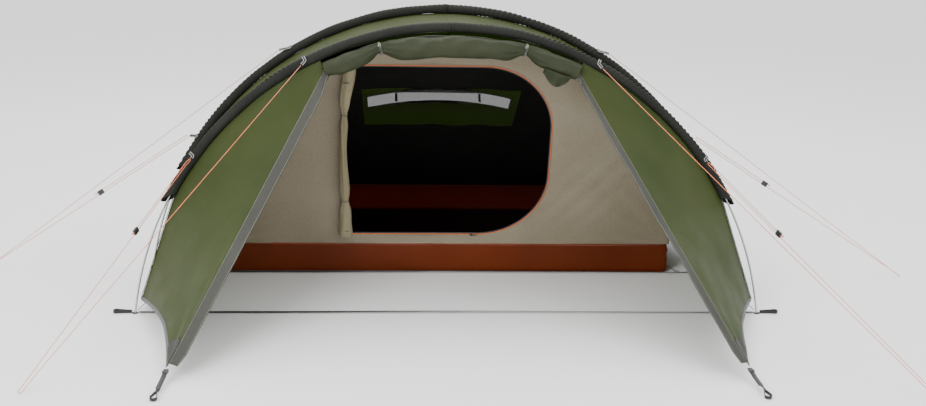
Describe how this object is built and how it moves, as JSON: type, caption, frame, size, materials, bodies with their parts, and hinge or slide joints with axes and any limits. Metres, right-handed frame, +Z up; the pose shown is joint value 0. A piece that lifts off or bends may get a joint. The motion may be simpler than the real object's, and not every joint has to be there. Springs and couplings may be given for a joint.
{
  "type": "tent on poles",
  "caption": "Two-hoop tent with a green flysheet, open front porch with a rolled-up door, inner tent with a D-shaped doorway, orange bathtub floor and pegged-out guylines.",
  "frame": {"origin": "on the ground, at the centre of the tent without its guylines", "axes": "+X to the right as seen from the door, +Y from the door to the back, +Z up"},
  "size_m": [4.0678, 2.9583, 1.1655],
  "materials": {
    "pole_alloy": "satin anodised tube",
    "tip_plastic": "cream moulded plastic",
    "shock_elastic": "braided elastic",
    "black_webbing": "ribbed webbing",
    "black_plastic": "moulded, matte",
    "green_flysheet": "coated ripstop, slight sheen",
    "dark_sleeve_cloth": "plain weave, matte",
    "grey_flap_cloth": "coated, matte",
    "zip_tape": "knitted tape with a coil",
    "insect_mesh": "fine knitted mesh",
    "orange_floor": "coated ripstop, satin",
    "beige_inner": "breathable plain weave",
    "orange_piping": "piped zip tape",
    "ring_steel": "plain wire ring",
    "orange_line": "braided guyline"
  },
  "bodies": {
    "root_body": {"front_pole_sections": "pole_alloy", "rear_pole_sections": "pole_alloy", "front_pole_ferrules": "pole_alloy", "rear_pole_ferrules": "pole_alloy", "pole_tips": "tip_plastic", "front_shock_cord": "shock_elastic", "rear_shock_cord": "shock_elastic", "foot_cups": "black_plastic", "foot_peg_loops": "black_webbing", "front_base_strap": "black_webbing", "rear_base_strap": "black_webbing", "fly_canopy": "green_flysheet", "front_sleeve": "dark_sleeve_cloth", "rear_sleeve": "dark_sleeve_cloth", "left_wing": "green_flysheet", "right_wing": "green_flysheet", "left_zip_flap": "grey_flap_cloth", "right_zip_flap": "grey_flap_cloth", "left_fly_zip": "zip_tape", "right_fly_zip": "zip_tape", "rolled_fly_door": "green_flysheet", "roll_ties": "black_webbing", "fly_rear_panel": "green_flysheet", "vent_mesh": "insect_mesh", "corner_patches": "black_webbing", "front_corner_straps": "black_webbing", "rear_corner_straps": "black_webbing", "guy_tabs": "black_webbing", "groundsheet": "orange_floor", "bathtub_walls": "orange_floor", "inner_front_wall": "beige_inner", "inner_ceiling": "insect_mesh", "inner_rear_wall": "insect_mesh", "inner_door_roll": "beige_inner", "inner_door_zip": "orange_piping", "inner_door_toggles": "black_plastic", "corner_elastics": "shock_elastic", "corner_rings": "ring_steel", "hanging_toggles": "black_plastic", "guyline_front_left": "orange_line", "guyline_front_right": "orange_line", "guyline_rear_left": "orange_line", "guyline_rear_right": "orange_line"},
    "left_zip_slider_body": {"left_fly_zip_slider": "black_plastic"},
    "right_zip_slider_body": {"right_fly_zip_slider": "black_plastic"},
    "inner_slider_body": {"inner_door_zip_slider": "black_plastic"},
    "hood_body": {"vent_hood": "green_flysheet"},
    "strut_body": {"vent_struts": "black_plastic"},
    "runner_front_left": {"guy_slider_front_left": "black_plastic"},
    "runner_front_right": {"guy_slider_front_right": "black_plastic"},
    "runner_rear_left": {"guy_slider_rear_left": "black_plastic"},
    "runner_rear_right": {"guy_slider_rear_right": "black_plastic"}
  },
  "joints": [
    {"name": "left_fly_zip_run", "type": "slide", "parent": "root_body", "child": "left_zip_slider_body", "axis": [-0.3856, -0.6457, -0.659], "range_m": [0, 1.28]},
    {"name": "right_fly_zip_run", "type": "slide", "parent": "root_body", "child": "right_zip_slider_body", "axis": [0.3856, -0.6457, -0.659], "range_m": [0, 1.28]},
    {"name": "inner_door_zip_run", "type": "slide", "parent": "root_body", "child": "inner_slider_body", "axis": [1, 0, 0], "range_m": [-0.48, 0.02]},
    {"name": "vent_hood_tilt", "type": "hinge", "parent": "root_body", "child": "hood_body", "pos_m": [0, 0.67992, 0.71771], "axis": [1, 0, 0], "range_deg": [-22, 6]},
    {"name": "vent_prop_fold", "type": "hinge", "parent": "hood_body", "child": "strut_body", "pos_m": [0, 0.80056, 0.66916], "axis": [1, 0, 0], "range_deg": [-31, 111]},
    {"name": "front_left_runner", "type": "slide", "parent": "root_body", "child": "runner_front_left", "axis": [0.4056, 0.773, 0.4879], "range_m": [-0.3, 0.25]},
    {"name": "front_right_runner", "type": "slide", "parent": "root_body", "child": "runner_front_right", "axis": [-0.4676, 0.7684, 0.437], "range_m": [-0.3, 0.25]},
    {"name": "rear_left_runner", "type": "slide", "parent": "root_body", "child": "runner_rear_left", "axis": [0.8338, 0.0581, 0.549], "range_m": [-0.3, 0.25]},
    {"name": "rear_right_runner", "type": "slide", "parent": "root_body", "child": "runner_rear_right", "axis": [-0.8395, 0.1261, 0.5285], "range_m": [-0.3, 0.25]}
  ],
  "couplings": [
    {"joint": "vent_prop_fold", "follows": "vent_hood_tilt", "ratio": -5}
  ]
}
